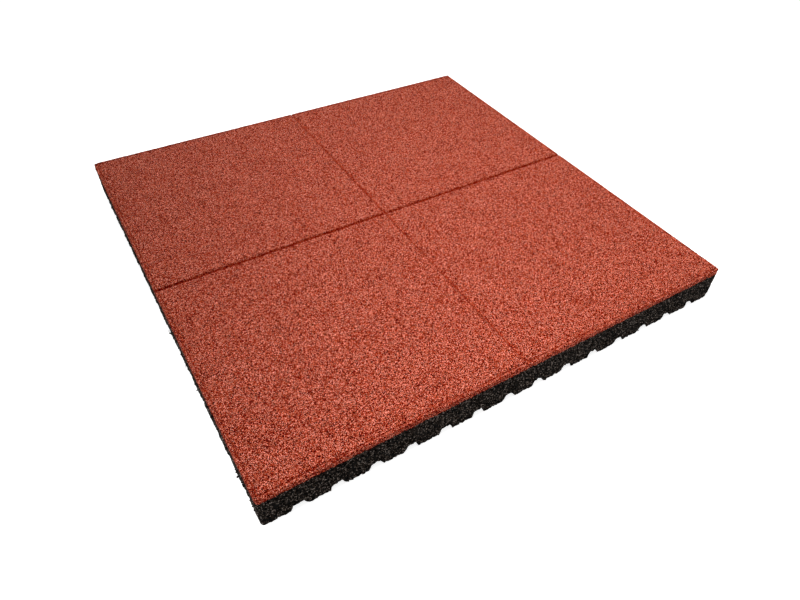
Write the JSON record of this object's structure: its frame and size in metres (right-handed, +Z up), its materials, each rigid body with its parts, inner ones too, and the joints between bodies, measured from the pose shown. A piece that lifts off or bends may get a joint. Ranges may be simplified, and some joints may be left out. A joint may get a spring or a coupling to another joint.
{
  "type": "rubber safety tile",
  "caption": "Square rubber safety tile: brick-red granulate top with crossed grooves and an edge crease, on a black granulate base that stands on square feet with drain channels.",
  "frame": {"origin": "middle of the square footprint, at the level of the floor that the feet stand on", "axes": "+Z up, square to the walking surface; X and Y run along the sides of the square, +X along the front edge in the picture and +Y from there to the back"},
  "size_m": [1, 1, 0.075],
  "materials": {
    "red_rubber_granulate": "matt, pressed from fine brick-red rubber granules, with small pits between them",
    "black_rubber_granulate": "matt, pressed from coarse black rubber granules, open and rough"
  },
  "bodies": {
    "root": {"wear_layer": "red_rubber_granulate", "base_layer": "black_rubber_granulate"}
  },
  "joints": []
}
